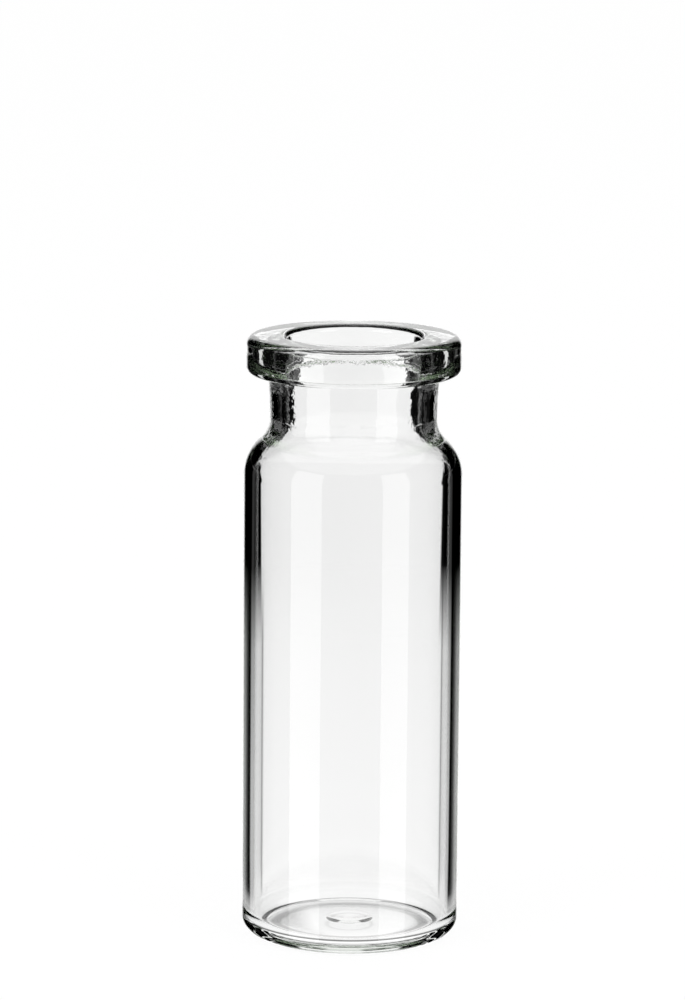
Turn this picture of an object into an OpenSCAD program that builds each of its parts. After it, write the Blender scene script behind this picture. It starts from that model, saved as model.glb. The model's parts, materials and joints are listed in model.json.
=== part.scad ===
// Crimp-neck sample vial, formed from one length of clear glass tube.
// The whole vial is a single turned section: a crown that a crimp cap grips,
// a short waisted neck, a round shoulder, a straight body and a base that is
// pushed up in the middle, so that the vial stands on a ring near its heel,
// with a small nub of glass below where the tube was closed.
// The axis is +Z, and the origin is the middle of the surface it stands on.

/* [Body] */
// Height of the vial, from the surface it stands on to its sealing face
vial_h = 56.8; // [40:0.1:90]
// Outer diameter of the body
body_d = 20.4; // [19:0.1:32]
// Thickness of the body's wall
wall = 1.05; // [0.7:0.05:1.5]

/* [Crown] */
// Outer diameter of the crown
crown_d = 20; // [18.5:0.1:22]
// Height of the crown
crown_h = 3.6; // [2.6:0.1:5]
// Rounding of the crown's upper edge
crown_top_r = 0.85; // [0.2:0.05:1.2]
// Rounding of the crown's lower edge
crown_low_r = 0.7; // [0.2:0.05:1.2]

/* [Mouth and neck] */
// Diameter of the bore through the crown and the neck
bore_d = 12.6; // [9:0.1:13.8]
// Rounding of the mouth, where the bore meets the sealing face
mouth_r = 0.65; // [0.2:0.05:0.9]
// Outer diameter of the neck at its waist
neck_d = 15.6; // [14.6:0.1:17.4]
// Height of the neck, from the shoulder's hollow curve to the crown
neck_h = 4.3; // [2:0.1:8]
// Height of the straight waist, at the bottom of the neck
waist_h = 0.5; // [0.2:0.1:1.6]
// Radius of the slow curve by which the neck widens above its waist
neck_flare_r = 31; // [20:1:120]

/* [Shoulder] */
// Radius of the hollow curve between the neck and the shoulder
shoulder_hollow_r = 2.4; // [1:0.1:5]
// Radius of the round curve between the shoulder and the body
shoulder_round_r = 4.3; // [2:0.1:8]

/* [Base] */
// Rounding of the heel, where the body meets the base
heel_r = 1.5; // [0.5:0.1:2.4]
// Thickness of the base
base_t = 0.85; // [0.6:0.05:2]
// Rounding inside the heel, where the wall meets the floor
floor_corner_r = 1.6; // [0.5:0.1:4]
// Diameter of the pushed-up middle of the base
pushup_d = 16.4; // [8:0.1:17]
// Rise of the pushed-up middle of the base
pushup_h = 0.55; // [0.4:0.05:1.5]
// Diameter of the small nub of glass under the middle of the base
nub_d = 4.6; // [2:0.1:7]
// How far that nub hangs down below the base
nub_h = 0.3; // [0.05:0.05:0.35]

/* [Hidden] */

$fn = 192;

body_r = body_d / 2;
body_inner_r = body_r - wall;
crown_r = crown_d / 2;
bore_r = bore_d / 2;
neck_r = neck_d / 2;

crown_low_z = vial_h - crown_h;
neck_low_z = crown_low_z - neck_h;

// Height at which the round curve of the shoulder starts, inside and outside
shoulder_z = neck_low_z - step_h(body_r - neck_r, shoulder_hollow_r, shoulder_round_r);

// The inside of the shoulder lies one wall in from the outside
inner_round_r = shoulder_round_r - wall;
inner_hollow_r = shoulder_hollow_r + wall;
bore_low_z = shoulder_z + step_h(body_inner_r - bore_r, inner_hollow_r, inner_round_r);

// Spheres of which the pushed-up middle and the nub below it are caps
pushup_r = cap_radius(pushup_d, pushup_h);
nub_r = cap_radius(nub_d, nub_h);

// Radius of the sphere whose cap has diameter d and rise h
function cap_radius(d, h) = (d * d / 4 + h * h) / (2 * h);

// How far each arc turns, in degrees, where a hollow arc runs into a round arc
// and the two step outwards by step; a wider step leaves a flat between them
function step_turn(step, hollow_r, round_r) =
    acos(max(0, 1 - step / (hollow_r + round_r)));

// Height of the two arcs together
function step_h(step, hollow_r, round_r) =
    (hollow_r + round_r) * sin(step_turn(step, hollow_r, round_r));

// Part of the section from the axis out to radius r, from height z0 to z1
module column(r, z0, z1) {
    translate([0, z0]) square([r, z1 - z0]);
}

// Disc of the section, centred at radius r and height z
module disc(radius, r, z) {
    translate([r, z]) circle(radius);
}

// Column whose lower and upper edges are rounded by a disc at each corner; a
// disc so large that it crosses the axis is cut off there
module rounded_column(r, z0, z1, low_edge_r, top_edge_r) {
    column(r, z0 + low_edge_r, z1 - top_edge_r);
    column(r - low_edge_r, z0, z1 - top_edge_r);
    column(r - top_edge_r, z0 + low_edge_r, z1);
    intersection() {
        column(2 * r, z0 - r, z1 + r);
        union() {
            disc(low_edge_r, r - low_edge_r, z0 + low_edge_r);
            disc(top_edge_r, r - top_edge_r, z1 - top_edge_r);
        }
    }
}

// Foot of a column of radius r: from its side, a hollow arc that starts at
// height z1 turns outwards by turn degrees, and the foot goes down to z0
module hollow_foot(r, z0, z1, hollow_r, turn) {
    difference() {
        column(r + hollow_r * (1 - cos(turn)), z0, z1);
        disc(hollow_r, r + hollow_r, z1);
    }
}

// Crown: a bead with rounded edges
module crown_section() {
    rounded_column(crown_r, crown_low_z, vial_h, crown_low_r, crown_top_r);
}

// Neck: straight at its waist and slightly wider below the crown
module neck_section() {
    flare_z = neck_low_z + waist_h;
    flare_turn = asin((crown_low_z - flare_z) / neck_flare_r);
    column(neck_r, shoulder_z, vial_h - crown_top_r);
    difference() {
        column(
            neck_r + neck_flare_r * (1 - cos(flare_turn)),
            flare_z, crown_low_z + crown_low_r
        );
        disc(neck_flare_r, neck_r + neck_flare_r, flare_z);
    }
}

// Shoulder and body, with the heel below and the neck's foot on top
module body_section() {
    turn = step_turn(body_r - neck_r, shoulder_hollow_r, shoulder_round_r);
    hollow_foot(neck_r, shoulder_z, neck_low_z, shoulder_hollow_r, turn);
    rounded_column(
        body_r, 0, shoulder_z + shoulder_round_r, heel_r, shoulder_round_r
    );
}

// Nub under the middle of the base, where the glass closed last
module nub_section() {
    intersection() {
        column(nub_d / 2, 0, pushup_h + base_t / 2);
        disc(nub_r, 0, pushup_h - nub_h + nub_r);
    }
}

// Everything inside the outer surface
module outer_section() {
    crown_section();
    neck_section();
    difference() {
        body_section();
        disc(pushup_r, 0, pushup_h - pushup_r);
    }
    nub_section();
}

// The space inside, from the floor out through the mouth
module inner_section() {
    turn = step_turn(body_inner_r - bore_r, inner_hollow_r, inner_round_r);
    difference() {
        rounded_column(
            body_inner_r, base_t, shoulder_z + inner_round_r,
            floor_corner_r, inner_round_r
        );
        disc(pushup_r + base_t, 0, pushup_h - pushup_r);
    }
    hollow_foot(bore_r, shoulder_z, bore_low_z, inner_hollow_r, turn);
    column(bore_r, shoulder_z, vial_h + mouth_r);
    difference() {
        column(bore_r + mouth_r, vial_h - mouth_r, vial_h + mouth_r);
        disc(mouth_r, bore_r + mouth_r, vial_h - mouth_r);
    }
}

module vial() {
    color([0.9, 0.94, 0.93, 0.35])
    rotate_extrude()
    difference() {
        outer_section();
        inner_section();
    }
}

vial();
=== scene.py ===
import json
import math

import bmesh
import bpy
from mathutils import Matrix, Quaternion, Vector, noise
from mathutils.geometry import intersect_sphere_sphere_2d


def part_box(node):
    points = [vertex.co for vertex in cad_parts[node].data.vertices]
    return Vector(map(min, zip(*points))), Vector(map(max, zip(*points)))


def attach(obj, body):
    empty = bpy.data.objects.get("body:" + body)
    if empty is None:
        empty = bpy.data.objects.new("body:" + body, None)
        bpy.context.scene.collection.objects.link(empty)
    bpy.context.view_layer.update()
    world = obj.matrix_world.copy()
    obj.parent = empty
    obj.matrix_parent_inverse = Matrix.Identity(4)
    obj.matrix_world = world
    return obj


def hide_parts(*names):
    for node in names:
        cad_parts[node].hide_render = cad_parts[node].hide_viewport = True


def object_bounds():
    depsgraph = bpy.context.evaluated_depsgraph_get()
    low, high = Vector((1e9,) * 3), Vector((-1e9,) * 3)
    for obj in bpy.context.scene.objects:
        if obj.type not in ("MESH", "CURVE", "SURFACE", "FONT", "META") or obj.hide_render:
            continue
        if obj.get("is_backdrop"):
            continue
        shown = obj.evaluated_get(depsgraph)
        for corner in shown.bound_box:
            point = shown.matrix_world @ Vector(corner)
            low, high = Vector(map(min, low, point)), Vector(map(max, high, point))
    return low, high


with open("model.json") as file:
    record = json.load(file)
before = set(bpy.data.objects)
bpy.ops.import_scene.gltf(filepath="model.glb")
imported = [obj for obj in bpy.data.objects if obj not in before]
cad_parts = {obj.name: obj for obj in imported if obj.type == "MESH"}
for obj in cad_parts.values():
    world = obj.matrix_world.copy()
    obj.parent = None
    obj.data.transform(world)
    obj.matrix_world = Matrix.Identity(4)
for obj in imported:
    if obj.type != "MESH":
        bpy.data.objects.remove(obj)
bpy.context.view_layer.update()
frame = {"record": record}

scene = bpy.context.scene
MM = 0.001


# ---------------------------------------------------------------- the vial
# The vial is one piece of clear borosilicate glass, formed from drawn tube. Its
# crown, neck and shoulder were heated and rolled, which left them rippled. The
# base was closed in the flame over a low push-up, and a nub of glass stayed.

# The frame gives the outer sizes, the crown and the bore. The rest are the
# part's own sizes.
low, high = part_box("vial")
mounts = {mount["name"]: mount for mount in frame["record"]["mounts"]}
HEIGHT = high[2]
BODY_RADIUS = high[0]
WALL = 1.05 * MM
CROWN_RADIUS = mounts["crown"]["dims"]["r_mm"] * MM
CROWN_HEIGHT = 3.6 * MM
CROWN_TOP_EDGE = 0.85 * MM
CROWN_LOW_EDGE = 0.7 * MM
BORE_RADIUS = mounts["mouth"]["dims"]["r_mm"] * MM
MOUTH_EDGE = 0.65 * MM
NECK_RADIUS = 7.8 * MM
NECK_HEIGHT = 4.3 * MM
WAIST_HEIGHT = 0.5 * MM
NECK_FLARE = 31 * MM
SHOULDER_HOLLOW = 2.4 * MM
SHOULDER_ROUND = 4.3 * MM
HEEL = 1.5 * MM
BASE = 0.85 * MM
FLOOR_CORNER = 1.6 * MM
PUSH_UP_RADIUS = 8.2 * MM
PUSH_UP_RISE = 0.55 * MM
NUB_RADIUS = 2.3 * MM
NUB_DROP = 0.3 * MM


class Section:
    """Half of the vial's section, drawn in the XZ plane from point to point, with
    each line or arc in a number of steps."""

    def __init__(self, radius, height):
        self.mesh = bmesh.new()
        self.tip = self.mesh.verts.new((radius, 0, height))

    def straight(self, radius, height, steps=1):
        move = Vector((radius, 0, height)) - self.tip.co
        self.spin(Vector((0, 0, 0)), 0, steps, move / steps)

    def arc(self, centre, degrees, steps):
        """Turns about centre (radius, height); positive degrees turn the
        tip from the axis side up and over towards the outside."""
        self.spin(Vector((centre[0], 0, centre[1])), math.radians(degrees), steps)

    def spin(self, centre, angle, steps, move=Vector((0, 0, 0))):
        made = bmesh.ops.spin(
            self.mesh, geom=[self.tip], cent=centre, axis=(0, 1, 0),
            dvec=move, angle=angle, steps=steps, use_merge=False, use_duplicate=False,
        )
        self.tip = next(v for v in made["geom_last"] if isinstance(v, bmesh.types.BMVert))


def cap_radius(radius, rise):
    """Radius of the sphere whose cap has that radius and rise."""
    return (radius**2 + rise**2) / (2 * rise)


def step_turn(step, hollow, rounded):
    """Degrees that two arcs turn, one into the other, to step out by step."""
    return math.degrees(math.acos(1 - step / (hollow + rounded)))


def meeting(centre, radius, other, other_radius):
    """The outer of the two points where two circles cross."""
    return max(intersect_sphere_sphere_2d(centre, radius, other, other_radius), key=lambda point: point.x)


def degrees_out(radius, circle):
    """How far round a circle on the axis that radius is."""
    return math.degrees(math.asin(radius / circle))


# The outside of the crown, neck and shoulder, and the inside one wall within it.
QUARTER_TURN = 90
crown_low = HEIGHT - CROWN_HEIGHT
neck_low = crown_low - NECK_HEIGHT
outer_turn = step_turn(BODY_RADIUS - NECK_RADIUS, SHOULDER_HOLLOW, SHOULDER_ROUND)
shoulder_z = neck_low - (SHOULDER_HOLLOW + SHOULDER_ROUND) * math.sin(math.radians(outer_turn))
flare_z = neck_low + WAIST_HEIGHT
flare_turn = math.degrees(math.asin((crown_low - flare_z) / NECK_FLARE))
inner_radius = BODY_RADIUS - WALL
inner_hollow = SHOULDER_HOLLOW + WALL
inner_round = SHOULDER_ROUND - WALL
inner_turn = step_turn(inner_radius - BORE_RADIUS, inner_hollow, inner_round)
bore_low = shoulder_z + (inner_hollow + inner_round) * math.sin(math.radians(inner_turn))

# The push-up and the nub are caps of spheres, and the floor follows the push-up.
push_up_curve = cap_radius(PUSH_UP_RADIUS, PUSH_UP_RISE)
push_up_centre = Vector((0, PUSH_UP_RISE - push_up_curve))
nub_curve = cap_radius(NUB_RADIUS, NUB_DROP)
nub_centre = Vector((0, PUSH_UP_RISE - NUB_DROP + nub_curve))
nub_edge = meeting(nub_centre, nub_curve, push_up_centre, push_up_curve).x
floor_curve = push_up_curve + BASE
corner_centre = Vector((inner_radius - FLOOR_CORNER, BASE + FLOOR_CORNER))
floor_edge = meeting(corner_centre, FLOOR_CORNER, push_up_centre, floor_curve)
corner_slope = math.atan2(floor_edge.x - corner_centre.x, corner_centre.y - floor_edge.y)
corner_turn = QUARTER_TURN - math.degrees(corner_slope)

# Narrow rings on both sides of a crease keep the smooth shading true beside it.
# These are the degrees round each curve to its crease, and to the guard ring.
GUARD = 0.03 * MM
nub_turn = degrees_out(nub_edge, nub_curve)
nub_guard = degrees_out(nub_edge - GUARD, nub_curve)
push_up_turn = degrees_out(nub_edge, push_up_curve)
push_up_guard = degrees_out(nub_edge + GUARD, push_up_curve)
rim_guard = degrees_out(PUSH_UP_RADIUS - GUARD, push_up_curve)
floor_turn = degrees_out(floor_edge.x, floor_curve)
floor_guard = degrees_out(floor_edge.x - GUARD, floor_curve)
corner_guard = math.degrees(GUARD / FLOOR_CORNER)

# Once round the section, from the middle of the nub out and up to the crown, and
# down inside to the middle of the floor.
section = Section(0, PUSH_UP_RISE - NUB_DROP)
section.arc(nub_centre, -nub_guard, 10)
section.arc(nub_centre, nub_guard - nub_turn, 1)
section.arc(push_up_centre, push_up_guard - push_up_turn, 1)
section.arc(push_up_centre, rim_guard - push_up_guard, 12)
section.straight(PUSH_UP_RADIUS, 0)
section.straight(PUSH_UP_RADIUS + GUARD, 0)
section.straight(BODY_RADIUS - HEEL, 0, 2)
section.arc((BODY_RADIUS - HEEL, HEEL), -QUARTER_TURN, 14)
section.straight(BODY_RADIUS, shoulder_z, 8)
section.arc((BODY_RADIUS - SHOULDER_ROUND, shoulder_z), -outer_turn, 22)
section.arc((NECK_RADIUS + SHOULDER_HOLLOW, neck_low), outer_turn, 16)
section.straight(NECK_RADIUS, flare_z, 4)
section.arc((NECK_RADIUS + NECK_FLARE, flare_z), flare_turn, 26)
section.straight(CROWN_RADIUS - CROWN_LOW_EDGE, crown_low, 8)
section.arc((CROWN_RADIUS - CROWN_LOW_EDGE, crown_low + CROWN_LOW_EDGE), -QUARTER_TURN, 10)
section.straight(CROWN_RADIUS, HEIGHT - CROWN_TOP_EDGE, 14)
section.arc((CROWN_RADIUS - CROWN_TOP_EDGE, HEIGHT - CROWN_TOP_EDGE), -QUARTER_TURN, 12)
section.straight(BORE_RADIUS + MOUTH_EDGE, HEIGHT, 10)
section.arc((BORE_RADIUS + MOUTH_EDGE, HEIGHT - MOUTH_EDGE), -QUARTER_TURN, 10)
section.straight(BORE_RADIUS, bore_low, 50)
section.arc((BORE_RADIUS + inner_hollow, bore_low), -inner_turn, 22)
section.arc((inner_radius - inner_round, shoulder_z), inner_turn, 18)
section.straight(inner_radius, BASE + FLOOR_CORNER, 8)
section.arc(corner_centre, corner_turn - corner_guard, 12)
section.arc(corner_centre, corner_guard, 1)
section.arc(push_up_centre, floor_guard - floor_turn, 1)
section.arc(push_up_centre, -floor_guard, 14)

ROUND_STEPS = 320
MERGED_WITHIN = 0.0001 * MM
mesh = section.mesh
bmesh.ops.spin(
    mesh, geom=mesh.verts[:] + mesh.edges[:], cent=(0, 0, 0), axis=(0, 0, 1),
    dvec=(0, 0, 0), angle=2 * math.pi, steps=ROUND_STEPS, use_merge=True, use_duplicate=False,
)
bmesh.ops.remove_doubles(mesh, verts=mesh.verts[:], dist=MERGED_WITHIN)
bmesh.ops.recalc_face_normals(mesh, faces=mesh.faces[:])
mesh.normal_update()

# The rolled glass sinks in by a few thousandths of a millimetre, unevenly: by a
# mean share of the depth, and by what the fine and the broad waves add to it.
ROLLED_DEPTH = 0.008 * MM
MEAN_SHARE, FINE_SHARE, BROAD_SHARE = 0.5, 0.35, 0.3
FINE_ACROSS, FINE_HIGH = 1.1 * MM, 0.55 * MM
BROAD_ACROSS, BROAD_HIGH = 2.6 * MM, 1.4 * MM


def sunk(place):
    """How far in, from 0 to 1, the rolled glass lies at a place."""
    fine = noise.noise(Vector((place.x / FINE_ACROSS, place.y / FINE_ACROSS, place.z / FINE_HIGH)))
    broad = noise.noise(Vector((place.x / BROAD_ACROSS, place.y / BROAD_ACROSS, place.z / BROAD_HIGH)))
    return MEAN_SHARE + FINE_SHARE * fine + BROAD_SHARE * broad


moves = []
for vertex in mesh.verts:
    rolled = min(max((vertex.co.z - shoulder_z) / (neck_low - shoulder_z), 0), 1)
    if rolled > 0:
        moves.append((vertex, vertex.normal * -ROLLED_DEPTH * rolled * sunk(vertex.co)))
for vertex, move in moves:
    vertex.co += move
for face in mesh.faces:
    face.smooth = True


def finished(mesh, name):
    """The object made from a finished bmesh."""
    data = bpy.data.meshes.new(name)
    mesh.to_mesh(data)
    mesh.free()
    made = bpy.data.objects.new(name, data)
    scene.collection.objects.link(made)
    return made


def add(tree, kind, operation=None, **values):
    """Adds a node and sets or links its sockets, by name or as _number."""
    node = tree.nodes.new(kind if kind.startswith("Node") else "ShaderNode" + kind)
    if operation:
        node.operation = operation
    for name, value in values.items():
        socket = node.inputs[int(name[1:])] if name[1:].isdigit() else node.inputs[name.replace("_", " ")]
        if isinstance(value, bpy.types.NodeSocket):
            tree.links.new(value, socket)
        else:
            socket.default_value = value
    return node


def maths(tree, operation, *values):
    """The result of a Math node."""
    return add(tree, "Math", operation, **{"_%d" % n: value for n, value in enumerate(values)}).outputs[0]


def rising(tree, value, start, end):
    """0 at start, 1 at end."""
    return add(tree, "MapRange", Value=value, From_Min=start, From_Max=end).outputs[0]


# Clear glass with a trace of green in its depth. Fine ripples lie on the rolled
# part alone: the drawn body and the base are smooth.
GLASS_IOR = 1.473
DEPTH_COLOUR = (0.7, 0.87, 0.66, 1)
DEPTH_DENSITY = 5
RIPPLE_ACROSS = 0.8 * MM
RIPPLE_HEIGHT = 0.017 * MM
RIPPLE_DETAIL = 2
glass = bpy.data.materials.new("clear glass")
glass.use_nodes = True
tree = glass.node_tree
place = add(tree, "TexCoord").outputs["Object"]
rolled = rising(tree, add(tree, "SeparateXYZ", Vector=place).outputs["Z"], shoulder_z, neck_low)
waves = add(tree, "TexNoise", Vector=place, Scale=1 / RIPPLE_ACROSS, Detail=RIPPLE_DETAIL).outputs["Fac"]
rippled = add(tree, "Bump", Distance=RIPPLE_HEIGHT, Height=maths(tree, "MULTIPLY", waves, rolled))
shader = tree.nodes["Principled BSDF"]
shader.inputs["Base Color"].default_value = (1, 1, 1, 1)
shader.inputs["Roughness"].default_value = 0
shader.inputs["IOR"].default_value = GLASS_IOR
shader.inputs["Transmission Weight"].default_value = 1
tree.links.new(rippled.outputs["Normal"], shader.inputs["Normal"])
depth = add(tree, "VolumeAbsorption", Color=DEPTH_COLOUR, Density=DEPTH_DENSITY)
tree.links.new(depth.outputs["Volume"], tree.nodes["Material Output"].inputs["Volume"])

vial = finished(mesh, "vial_glass")
vial.data.materials.append(glass)
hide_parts("vial")
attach(vial, "root")


# ------------------------------------------------------------------ studio
# White panels stand round the vial every 45 degrees, with black cards in the
# gaps between them. Seen through the wall, the cards draw the glass's dark
# edges. Light that has turned inside the wall finds most of the room dark.

# Brightness by heading, in degrees away from a pattern's middle. Light is seen
# straight through the glass, or turned once in its wall, or mirrored off its
# outside, or guided along inside it. Near is what shows through the table close
# to the vial, and far is the rest of the table and all above it.
SEEN_FAR = [(0, 0.97), (8, 1), (14, 1.05), (16.4, 1.08), (17.6, 0), (22.5, 0)]
SEEN_NEAR = [(0, 0.97), (8, 1), (12, 1.02), (13.4, 1), (14.6, 0.3), (15.8, 0.85), (18, 0.95), (22.5, 0.95)]
TURNED_FAR = [
    (0, 0.8), (6, 0.8), (8.5, 0), (40.5, 0), (42, 0.04), (46, 0.04), (48, 0),
    (78, 0), (84, 0.08), (185, 0.08),
]
TURNED_NEAR = [
    (0, 1), (8, 1), (14, 0.8), (19, 0.52), (23.5, 0.22), (27, 0.08), (31, 0.02), (33, 0),
    (36, 0), (39.5, 0.62), (60, 0.62), (68, 0.8), (185, 0.8),
]
MIRRORED = [
    (0, 1.3), (15, 1.3), (22, 0), (50, 0), (53, 0.05), (61, 0.05), (63, 0), (66, 0), (69, 0.04),
    (110, 0.04), (116, 0.25), (180, 0.25),
]
GUIDED = [(0, 1.05), (20, 1.05), (22, 0), (180, 0)]

# The headings of the patterns' middles, and how far apart the panels stand.
SEEN_FAR_MIDDLE, SEEN_NEAR_MIDDLE = -1.2, 0.7
TURNED_FAR_MIDDLE, TURNED_NEAR_MIDDLE = 2, 2.3
PANELS_EVERY = 45

# The far side is dark on both diagonals, between these degrees from its middle,
# and down to a level.
DIAGONALS_FROM, DIAGONALS_TO = 22.5, 64
DIAGONALS_EDGE = 0.5

# A level is the height of a direction, as the sine of its angle above the
# horizon: first where a change begins, then where it is complete.
DIAGONALS_LEVEL = (-0.33, -0.3)
STEEP_LEVEL = (-0.46, -0.5)
NEAR_LEVEL = (-0.24, -0.17)
GUIDED_LEVEL = (0.12, 0.18)
CEILING_LEVEL = (0.6, 0.65)

# How bright the ceiling is, and the share of light that is lost on the diagonals
# and in the shallow band of the near side.
CEILING = 0.95
DIAGONALS_DARK = 0.93
NEAR_DARK = 0.8
BLACK = 0.0

# A count of turns above the first number is one or more, and above the second
# it is two or more.
TURNED_ONCE, TURNED_TWICE = 0.5, 1.5


def between(tree, amount, first, second):
    """First at amount 0, second at amount 1."""
    return add(tree, "Mix", _0=amount, _2=first, _3=second).outputs[0]


def ramp(tree, reading, stops):
    """Brightness by degrees or millimetres, from (reading, brightness) stops."""
    reach = stops[-1][0]
    node = add(tree, "ValToRGB", Fac=maths(tree, "DIVIDE", reading, reach))
    points = node.color_ramp.elements
    points.remove(points[1])
    for number, (at, bright) in enumerate(stops):
        point = points[0] if number == 0 else points.new(at / reach)
        point.position = at / reach
        point.color = (bright, bright, bright, 1)
    return node.outputs["Color"]


cards = bpy.data.node_groups.new("panels and cards", "ShaderNodeTree")
cards.interface.new_socket("Direction", in_out="INPUT", socket_type="NodeSocketVector")
for name in ("Turns", "Mirrored", "Near"):
    cards.interface.new_socket(name, in_out="INPUT", socket_type="NodeSocketFloat")
cards.interface.new_socket("Light", in_out="OUTPUT", socket_type="NodeSocketFloat")
given = add(cards, "NodeGroupInput").outputs
split = add(cards, "SeparateXYZ", Vector=given["Direction"]).outputs
above = split["Z"]
heading = maths(cards, "DEGREES", maths(cards, "ARCTAN2", split["X"], split["Y"]))


def off(middle):
    """Degrees that the heading lies away from a middle."""
    return maths(cards, "ABSOLUTE", maths(cards, "SUBTRACT", heading, middle))


def off_panel(middle):
    """Degrees away from the nearest of the panels, one of which is at middle."""
    return maths(cards, "PINGPONG", maths(cards, "SUBTRACT", heading, middle), PANELS_EVERY / 2)


side = off(SEEN_FAR_MIDDLE)
diagonal = rising(cards, side, DIAGONALS_FROM, DIAGONALS_FROM + DIAGONALS_EDGE)
diagonal_end = rising(cards, side, DIAGONALS_TO, DIAGONALS_TO - DIAGONALS_EDGE)
diagonal = maths(cards, "MULTIPLY", diagonal, diagonal_end)
diagonal = maths(cards, "MULTIPLY", diagonal, rising(cards, above, *DIAGONALS_LEVEL))
seen_far = ramp(cards, off_panel(SEEN_FAR_MIDDLE), SEEN_FAR)
seen_far = between(cards, maths(cards, "MULTIPLY", diagonal, DIAGONALS_DARK), seen_far, BLACK)
seen_near = ramp(cards, off_panel(SEEN_NEAR_MIDDLE), SEEN_NEAR)
seen = between(cards, given["Near"], seen_far, seen_near)
seen = between(cards, rising(cards, above, *STEEP_LEVEL), seen, BLACK)

often = maths(cards, "GREATER_THAN", given["Turns"], TURNED_TWICE)
guided = maths(cards, "MULTIPLY", ramp(cards, off(0), GUIDED), rising(cards, above, *GUIDED_LEVEL))
turned_far = ramp(cards, off(TURNED_FAR_MIDDLE), TURNED_FAR)
turned_far = between(cards, often, turned_far, guided)
turned_far = between(cards, rising(cards, above, *CEILING_LEVEL), turned_far, CEILING)
turned_near = ramp(cards, off(TURNED_NEAR_MIDDLE), TURNED_NEAR)
shaded = maths(cards, "MULTIPLY", rising(cards, above, *NEAR_LEVEL), NEAR_DARK)
turned_near = between(cards, shaded, turned_near, BLACK)
turned_near = between(cards, often, turned_near, guided)
turned = between(cards, given["Near"], turned_far, turned_near)
turned = between(cards, given["Mirrored"], turned, ramp(cards, off(0), MIRRORED))
once = maths(cards, "GREATER_THAN", given["Turns"], TURNED_ONCE)
light = between(cards, once, seen, turned)
cards.links.new(light, add(cards, "NodeGroupOutput").inputs["Light"])


def studio_light(tree, direction, near, path):
    """How bright the studio is for the light that comes from a direction."""
    group = tree.nodes.new("ShaderNodeGroup")
    group.node_tree = cards
    tree.links.new(direction, group.inputs["Direction"])
    tree.links.new(path["Glossy Depth"], group.inputs["Turns"])
    tree.links.new(path["Is Reflection Ray"], group.inputs["Mirrored"])
    if isinstance(near, bpy.types.NodeSocket):
        tree.links.new(near, group.inputs["Near"])
    else:
        group.inputs["Near"].default_value = near
    return group.outputs["Light"]


# To the camera the studio's far wall is plain white, and a fill of that white
# falls on the table. Light seen through the glass that has turned more than
# TRAPPED_TURNS times and heads down finds the studio green and brighter: a
# painted green glow, partly the glass's own tint over a long path and partly
# painted light, that shows in the crown.
WORLD_FILL = 0.4
TRAPPED_TURNS = 6.5
PAINTED_GLOW_LIGHT = 0.7
PAINTED_GLOW_COLOUR = (0.75, 1, 0.65, 1)
world = bpy.data.worlds.new("studio")
scene.world = world
world.use_nodes = True
tree = world.node_tree
tree.nodes.clear()
path = add(tree, "LightPath").outputs
place = add(tree, "TexCoord").outputs["Generated"]
below = maths(tree, "LESS_THAN", add(tree, "SeparateXYZ", Vector=place).outputs["Z"], 0.0)
below = maths(tree, "MULTIPLY", below, path["Is Transmission Ray"])
# A painted green glow for light that has turned many times and heads down.
painted_glow = maths(tree, "MULTIPLY", maths(tree, "GREATER_THAN", path["Glossy Depth"], TRAPPED_TURNS), below)
lit = maths(tree, "MULTIPLY_ADD", painted_glow, PAINTED_GLOW_LIGHT, studio_light(tree, place, below, path))
colour = add(tree, "MixRGB", Fac=painted_glow, Color1=(1, 1, 1, 1), Color2=PAINTED_GLOW_COLOUR).outputs["Color"]
plain = maths(tree, "MULTIPLY_ADD", path["Is Diffuse Ray"], WORLD_FILL, path["Is Camera Ray"])
direct = maths(tree, "ADD", path["Is Camera Ray"], path["Is Diffuse Ray"])
sky = add(tree, "Background", Color=colour, Strength=between(tree, direct, lit, plain))
add(tree, "OutputWorld", Surface=sky.outputs["Background"])


# ------------------------------------------------------------------- floor
# A plain white table top. It is bright by itself to the camera, so that only a
# trace of the vial's shadow stays on it. Glass sees through it to the studio's
# panels and cards, apart from the part that the vial stands on. There, to the
# glass alone, the table glows with painted light, and holds painted contact
# shadows in rings under the foot and round the nub, and a painted shade ring.
TABLE_RADIUS = 2
TABLE_SIDES = 96
TABLE_DROP = 0.02 * MM
TABLE_WHITE = (0.9, 0.9, 0.9, 1)
TABLE_ROUGHNESS = 0.9

# How bright the table glows, and the share of plain paint that takes the shadow.
TABLE_BRIGHT = 1.1
TABLE_MATT = 0.15

# Distances from the middle of the table. It starts to open to the glass at
# STAND_FROM, is open from STAND_TO as far as OPEN_TO, and is shut at OPEN_END.
STAND_FROM, STAND_TO = 0.012, 0.02
OPEN_TO, OPEN_END = 0.13, 0.18

# Out to STAND_RADIUS its brightness goes by the millimetres from the middle.
# That brightness is painted light under the vial, with painted shadows: a dark
# ring from 8.3 to 8.7 mm under the flat ring the vial rests on, a faint one at
# about 2 mm under the nub's rim, and a painted shade ring from 6.3 to 7.6 mm.
STAND_RADIUS = 0.021
PAINTED_LIGHT_AND_SHADOWS = [
    (0, 1.05), (1.9, 1.05), (2.1, 0.75), (2.4, 1.05), (6.3, 1.05), (6.6, 0.68), (7.4, 0.68), (7.6, 1.1),
    (8.2, 1.15), (8.3, 0.2), (8.7, 0.2), (9, 1), (40, 1),
]
mesh = bmesh.new()
bmesh.ops.create_circle(mesh, cap_ends=True, segments=TABLE_SIDES, radius=TABLE_RADIUS)
bmesh.ops.translate(mesh, vec=(0, 0, -TABLE_DROP), verts=mesh.verts[:])
table = finished(mesh, "table")
table.visible_glossy = False
table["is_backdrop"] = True

paint = bpy.data.materials.new("white table")
paint.use_nodes = True
tree = paint.node_tree
path = add(tree, "LightPath").outputs
place = add(tree, "TexCoord").outputs["Object"]
reach = add(tree, "VectorMath", "LENGTH", _0=place).outputs["Value"]
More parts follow.
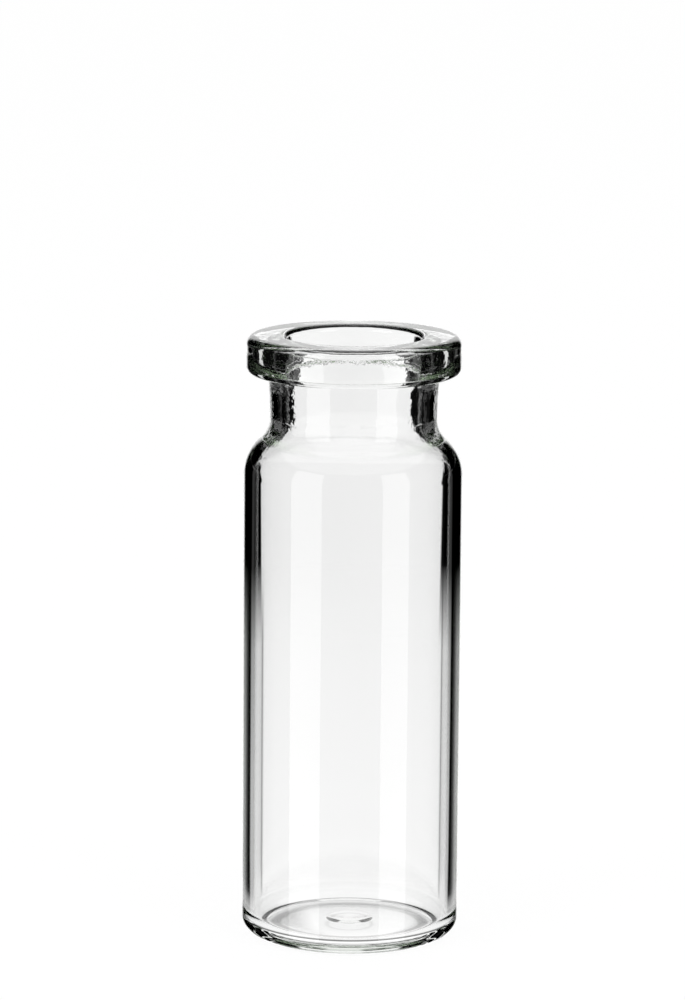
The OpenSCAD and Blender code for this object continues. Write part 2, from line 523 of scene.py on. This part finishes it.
# Painted light and painted contact shadows under the vial, seen only by the glass.
painted_light_and_shadows = ramp(tree, maths(tree, "MULTIPLY", reach, 1 / MM), PAINTED_LIGHT_AND_SHADOWS)
stand = maths(tree, "LESS_THAN", reach, STAND_RADIUS)
lit = between(tree, stand, studio_light(tree, place, 0.0, path), painted_light_and_shadows)
glow = add(tree, "Emission", Strength=between(tree, path["Is Camera Ray"], lit, TABLE_BRIGHT))
dull = tree.nodes["Principled BSDF"]
dull.inputs["Base Color"].default_value = TABLE_WHITE
dull.inputs["Roughness"].default_value = TABLE_ROUGHNESS
dull.inputs["Specular IOR Level"].default_value = 0
matt = maths(tree, "MULTIPLY", path["Is Camera Ray"], TABLE_MATT)
matt = maths(tree, "MAXIMUM", matt, path["Is Diffuse Ray"])
top = add(tree, "MixShader", Fac=matt, _1=glow.outputs["Emission"], _2=dull.outputs["BSDF"])
under = rising(tree, reach, STAND_TO, STAND_FROM)
open_part = maths(tree, "SUBTRACT", 1.0, under)
open_part = maths(tree, "MULTIPLY", open_part, rising(tree, reach, OPEN_END, OPEN_TO))
open_part = maths(tree, "MULTIPLY", open_part, path["Is Transmission Ray"])
clear = add(tree, "BsdfTransparent").outputs["BSDF"]
top = add(tree, "MixShader", Fac=open_part, _1=top.outputs["Shader"], _2=clear)
tree.links.new(top.outputs["Shader"], tree.nodes["Material Output"].inputs["Surface"])
table.data.materials.append(paint)


# --------------------------------------------------------------- softboxes
# Two upright softboxes stand in front of the vial, to its left and right. Their
# reflections are the two soft stripes that run down the body.
SOFTBOX_AWAY = 0.6
SOFTBOX_HEIGHT = 0.7
SOFTBOX_MIDDLE = 0.05
SOFTBOX_WATTS_PER_AREA = 2 * math.pi

# The heading of each, and half its width, in degrees as the vial sees it.
SOFTBOXES = (("left", -50, 17.5), ("right", 46, 15))
for name, turned_to, half_width in SOFTBOXES:
    lamp = bpy.data.lights.new("softbox_" + name, "AREA")
    lamp.shape = "RECTANGLE"
    lamp.size = 2 * SOFTBOX_AWAY * math.tan(math.radians(half_width))
    lamp.size_y = SOFTBOX_HEIGHT
    lamp.energy = SOFTBOX_WATTS_PER_AREA * lamp.size * lamp.size_y
    softbox = bpy.data.objects.new("softbox_" + name, lamp)
    scene.collection.objects.link(softbox)
    turn = math.radians(turned_to)
    softbox.location = (SOFTBOX_AWAY * math.sin(turn), -SOFTBOX_AWAY * math.cos(turn), SOFTBOX_MIDDLE)
    aim = Vector((0, 0, SOFTBOX_MIDDLE)) - softbox.location
    softbox.rotation_euler = aim.to_track_quat("-Z", "Y").to_euler()
    softbox.visible_camera = False
    softbox.visible_transmission = False


# ------------------------------------------------------------------ camera
# A long lens looks a little down on the vial from 46 centimetres away, and its
# view is turned by half a degree. The frame is measured along its longer side.
CAMERA_PLACE = (-0.97 * MM, -450 * MM, 124.6 * MM)
CAMERA_TILT = math.radians(10.495)
CAMERA_ROLL = math.radians(0.469)
FRAME_LENGTHS_AWAY = 4.912
FRAME_LENGTH = 36
SIGHT_END = 10
lens = bpy.data.cameras.new("camera")
lens.sensor_width = FRAME_LENGTH
lens.lens = FRAME_LENGTHS_AWAY * FRAME_LENGTH
lens.clip_end = SIGHT_END
camera = bpy.data.objects.new("camera", lens)
scene.collection.objects.link(camera)
aim = Vector((0, math.cos(CAMERA_TILT), -math.sin(CAMERA_TILT)))
camera.location = CAMERA_PLACE
camera.rotation_mode = "QUATERNION"
camera.rotation_quaternion = Quaternion(aim, -CAMERA_ROLL) @ aim.to_track_quat("-Z", "Y")
scene.camera = camera

# The glass needs many turns of light to look clear at its thick edges.
MOST_BOUNCES, MOST_REFLECTIONS = 32, 16
scene.view_settings.view_transform = "Standard"
scene.cycles.max_bounces = MOST_BOUNCES
scene.cycles.transmission_bounces = MOST_BOUNCES
scene.cycles.glossy_bounces = MOST_REFLECTIONS

low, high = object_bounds()
